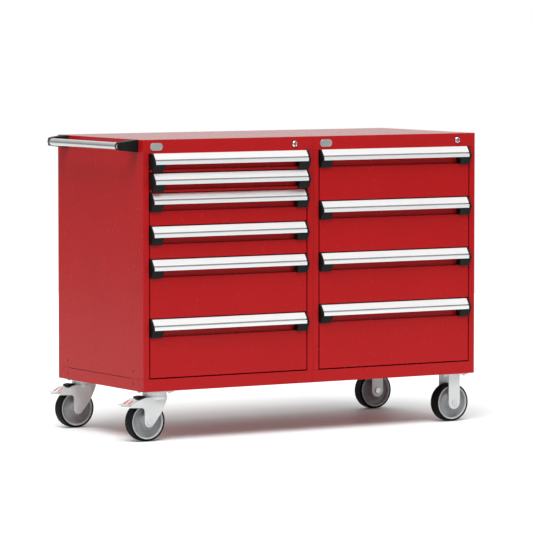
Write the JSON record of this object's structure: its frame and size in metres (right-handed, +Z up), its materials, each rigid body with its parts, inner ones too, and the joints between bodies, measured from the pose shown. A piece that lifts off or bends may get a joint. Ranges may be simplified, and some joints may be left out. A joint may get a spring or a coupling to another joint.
{
  "type": "rolling tool chest",
  "caption": "Wide two-bay rolling tool chest with full-width pulls on stacked sliding drawers, cylinder locks, a side push handle, and swivel and rigid casters.",
  "frame": {"origin": "on the floor, under the middle of the whole chest's box, push handle, pulls and brake pedals included", "axes": "+Z up; the drawers open towards -Y; +X to the right of a person who faces the drawers, so the push handle is at -X"},
  "size_m": [1.6054, 0.7214, 1.1589],
  "materials": {
    "red_paint": "semi-gloss powder coat",
    "aluminium": "satin anodised",
    "slide_zinc": "zinc plated",
    "caster_zinc": "bright zinc plated",
    "chrome": "bright plated",
    "black_plastic": "fine textured moulding",
    "hub_plastic": "satin moulding",
    "tyre_rubber": "smooth tread"
  },
  "bodies": {
    "housing": {"housing_left": "red_paint", "housing_right": "red_paint", "back_panels": "red_paint", "slide_rails_left": "slide_zinc", "slide_rails_right": "slide_zinc", "push_handle_tube": "aluminium", "push_handle_brackets": "black_plastic", "lock_barrels": "chrome", "rigid_forks": "caster_zinc", "rigid_axles": "caster_zinc", "swivel_plates": "caster_zinc", "caster_bolts": "caster_zinc"},
    "drawer_l1": {"drawer_l1": "red_paint", "pull_l1": "aluminium"},
    "carriages_l1": {"carriages_l1": "slide_zinc"},
    "drawer_l2": {"drawer_l2": "red_paint", "pull_l2": "aluminium"},
    "carriages_l2": {"carriages_l2": "slide_zinc"},
    "drawer_l3": {"drawer_l3": "red_paint", "pull_l3": "aluminium"},
    "carriages_l3": {"carriages_l3": "slide_zinc"},
    "drawer_l4": {"drawer_l4": "red_paint", "pull_l4": "aluminium"},
    "carriages_l4": {"carriages_l4": "slide_zinc"},
    "drawer_l5": {"drawer_l5": "red_paint", "pull_l5": "aluminium"},
    "carriages_l5": {"carriages_l5": "slide_zinc"},
    "drawer_l6": {"drawer_l6": "red_paint", "pull_l6": "aluminium"},
    "carriages_l6": {"carriages_l6": "slide_zinc"},
    "drawer_r1": {"drawer_r1": "red_paint", "pull_r1": "aluminium"},
    "carriages_r1": {"carriages_r1": "slide_zinc"},
    "drawer_r2": {"drawer_r2": "red_paint", "pull_r2": "aluminium"},
    "carriages_r2": {"carriages_r2": "slide_zinc"},
    "drawer_r3": {"drawer_r3": "red_paint", "pull_r3": "aluminium"},
    "carriages_r3": {"carriages_r3": "slide_zinc"},
    "drawer_r4": {"drawer_r4": "red_paint", "pull_r4": "aluminium"},
    "carriages_r4": {"carriages_r4": "slide_zinc"},
    "lock_plug_left": {"lock_plug_left": "chrome"},
    "lock_bar_left": {"lock_bar_left": "slide_zinc"},
    "lock_plug_right": {"lock_plug_right": "chrome"},
    "lock_bar_right": {"lock_bar_right": "slide_zinc"},
    "swivel_front": {"swivel_fork_front": "caster_zinc", "swivel_axle_front": "caster_zinc"},
    "brake_pedal_front": {"brake_pedal_front": "caster_zinc"},
    "wheel_front_left": {"hub_front_left": "hub_plastic", "tyre_front_left": "tyre_rubber"},
    "wheel_front_right": {"hub_front_right": "hub_plastic", "tyre_front_right": "tyre_rubber"},
    "swivel_rear": {"swivel_fork_rear": "caster_zinc", "swivel_axle_rear": "caster_zinc"},
    "brake_pedal_rear": {"brake_pedal_rear": "caster_zinc"},
    "wheel_rear_left": {"hub_rear_left": "hub_plastic", "tyre_rear_left": "tyre_rubber"},
    "wheel_rear_right": {"hub_rear_right": "hub_plastic", "tyre_rear_right": "tyre_rubber"}
  },
  "joints": [
    {"name": "drawer_l1_slide", "type": "slide", "parent": "housing", "child": "drawer_l1", "axis": [0, -1, 0], "range_m": [0, 0.58]},
    {"name": "carriages_l1_slide", "type": "slide", "parent": "housing", "child": "carriages_l1", "axis": [0, -1, 0], "range_m": [0, 0.29]},
    {"name": "drawer_l2_slide", "type": "slide", "parent": "housing", "child": "drawer_l2", "axis": [0, -1, 0], "range_m": [0, 0.58]},
    {"name": "carriages_l2_slide", "type": "slide", "parent": "housing", "child": "carriages_l2", "axis": [0, -1, 0], "range_m": [0, 0.29]},
    {"name": "drawer_l3_slide", "type": "slide", "parent": "housing", "child": "drawer_l3", "axis": [0, -1, 0], "range_m": [0, 0.58]},
    {"name": "carriages_l3_slide", "type": "slide", "parent": "housing", "child": "carriages_l3", "axis": [0, -1, 0], "range_m": [0, 0.29]},
    {"name": "drawer_l4_slide", "type": "slide", "parent": "housing", "child": "drawer_l4", "axis": [0, -1, 0], "range_m": [0, 0.58]},
    {"name": "carriages_l4_slide", "type": "slide", "parent": "housing", "child": "carriages_l4", "axis": [0, -1, 0], "range_m": [0, 0.29]},
    {"name": "drawer_l5_slide", "type": "slide", "parent": "housing", "child": "drawer_l5", "axis": [0, -1, 0], "range_m": [0, 0.58]},
    {"name": "carriages_l5_slide", "type": "slide", "parent": "housing", "child": "carriages_l5", "axis": [0, -1, 0], "range_m": [0, 0.29]},
    {"name": "drawer_l6_slide", "type": "slide", "parent": "housing", "child": "drawer_l6", "axis": [0, -1, 0], "range_m": [0, 0.58]},
    {"name": "carriages_l6_slide", "type": "slide", "parent": "housing", "child": "carriages_l6", "axis": [0, -1, 0], "range_m": [0, 0.29]},
    {"name": "drawer_r1_slide", "type": "slide", "parent": "housing", "child": "drawer_r1", "axis": [0, -1, 0], "range_m": [0, 0.58]},
    {"name": "carriages_r1_slide", "type": "slide", "parent": "housing", "child": "carriages_r1", "axis": [0, -1, 0], "range_m": [0, 0.29]},
    {"name": "drawer_r2_slide", "type": "slide", "parent": "housing", "child": "drawer_r2", "axis": [0, -1, 0], "range_m": [0, 0.58]},
    {"name": "carriages_r2_slide", "type": "slide", "parent": "housing", "child": "carriages_r2", "axis": [0, -1, 0], "range_m": [0, 0.29]},
    {"name": "drawer_r3_slide", "type": "slide", "parent": "housing", "child": "drawer_r3", "axis": [0, -1, 0], "range_m": [0, 0.58]},
    {"name": "carriages_r3_slide", "type": "slide", "parent": "housing", "child": "carriages_r3", "axis": [0, -1, 0], "range_m": [0, 0.29]},
    {"name": "drawer_r4_slide", "type": "slide", "parent": "housing", "child": "drawer_r4", "axis": [0, -1, 0], "range_m": [0, 0.58]},
    {"name": "carriages_r4_slide", "type": "slide", "parent": "housing", "child": "carriages_r4", "axis": [0, -1, 0], "range_m": [0, 0.29]},
    {"name": "lock_plug_left_turn", "type": "hinge", "parent": "housing", "child": "lock_plug_left", "pos_m": [-0.0451, -0.32515, 1.1316], "axis": [0, -1, 0], "range_deg": [0, 90]},
    {"name": "lock_bar_left_shift", "type": "slide", "parent": "housing", "child": "lock_bar_left", "axis": [1, 0, 0], "range_m": [0, 0.005]},
    {"name": "lock_plug_right_turn", "type": "hinge", "parent": "housing", "child": "lock_plug_right", "pos_m": [0.7169, -0.32515, 1.1316], "axis": [0, -1, 0], "range_deg": [0, 90]},
    {"name": "lock_bar_right_shift", "type": "slide", "parent": "housing", "child": "lock_bar_right", "axis": [1, 0, 0], "range_m": [0, 0.005]},
    {"name": "caster_front_swivel", "type": "hinge", "parent": "housing", "child": "swivel_front", "pos_m": [-0.6401, -0.26685, 0.1727], "axis": [0, 0, 1], "continuous": true},
    {"name": "brake_pedal_front_press", "type": "hinge", "parent": "swivel_front", "child": "brake_pedal_front", "pos_m": [-0.7281, -0.26685, 0.1487], "axis": [0, -1, 0], "range_deg": [0, 10]},
    {"name": "wheel_front_left_roll", "type": "hinge", "parent": "swivel_front", "child": "wheel_front_left", "pos_m": [-0.6831, -0.26685, 0.0762], "axis": [0, 1, 0], "continuous": true},
    {"name": "wheel_front_right_roll", "type": "hinge", "parent": "housing", "child": "wheel_front_right", "pos_m": [0.7219, -0.26685, 0.0762], "axis": [0, 1, 0], "continuous": true},
    {"name": "caster_rear_swivel", "type": "hinge", "parent": "housing", "child": "swivel_rear", "pos_m": [-0.6401, 0.30235, 0.1727], "axis": [0, 0, 1], "continuous": true},
    {"name": "brake_pedal_rear_press", "type": "hinge", "parent": "swivel_rear", "child": "brake_pedal_rear", "pos_m": [-0.7281, 0.30235, 0.1487], "axis": [0, -1, 0], "range_deg": [0, 10]},
    {"name": "wheel_rear_left_roll", "type": "hinge", "parent": "swivel_rear", "child": "wheel_rear_left", "pos_m": [-0.6831, 0.30235, 0.0762], "axis": [0, 1, 0], "continuous": true},
    {"name": "wheel_rear_right_roll", "type": "hinge", "parent": "housing", "child": "wheel_rear_right", "pos_m": [0.7219, 0.30235, 0.0762], "axis": [0, 1, 0], "continuous": true}
  ],
  "couplings": [
    {"joint": "carriages_l1_slide", "follows": "drawer_l1_slide", "ratio": 0.5},
    {"joint": "carriages_l2_slide", "follows": "drawer_l2_slide", "ratio": 0.5},
    {"joint": "carriages_l3_slide", "follows": "drawer_l3_slide", "ratio": 0.5},
    {"joint": "carriages_l4_slide", "follows": "drawer_l4_slide", "ratio": 0.5},
    {"joint": "carriages_l5_slide", "follows": "drawer_l5_slide", "ratio": 0.5},
    {"joint": "carriages_l6_slide", "follows": "drawer_l6_slide", "ratio": 0.5},
    {"joint": "carriages_r1_slide", "follows": "drawer_r1_slide", "ratio": 0.5},
    {"joint": "carriages_r2_slide", "follows": "drawer_r2_slide", "ratio": 0.5},
    {"joint": "carriages_r3_slide", "follows": "drawer_r3_slide", "ratio": 0.5},
    {"joint": "carriages_r4_slide", "follows": "drawer_r4_slide", "ratio": 0.5},
    {"joint": "lock_plug_left_turn", "follows": "lock_bar_left_shift", "rad_per_m": 314.16},
    {"joint": "lock_plug_right_turn", "follows": "lock_bar_right_shift", "rad_per_m": 314.16}
  ]
}
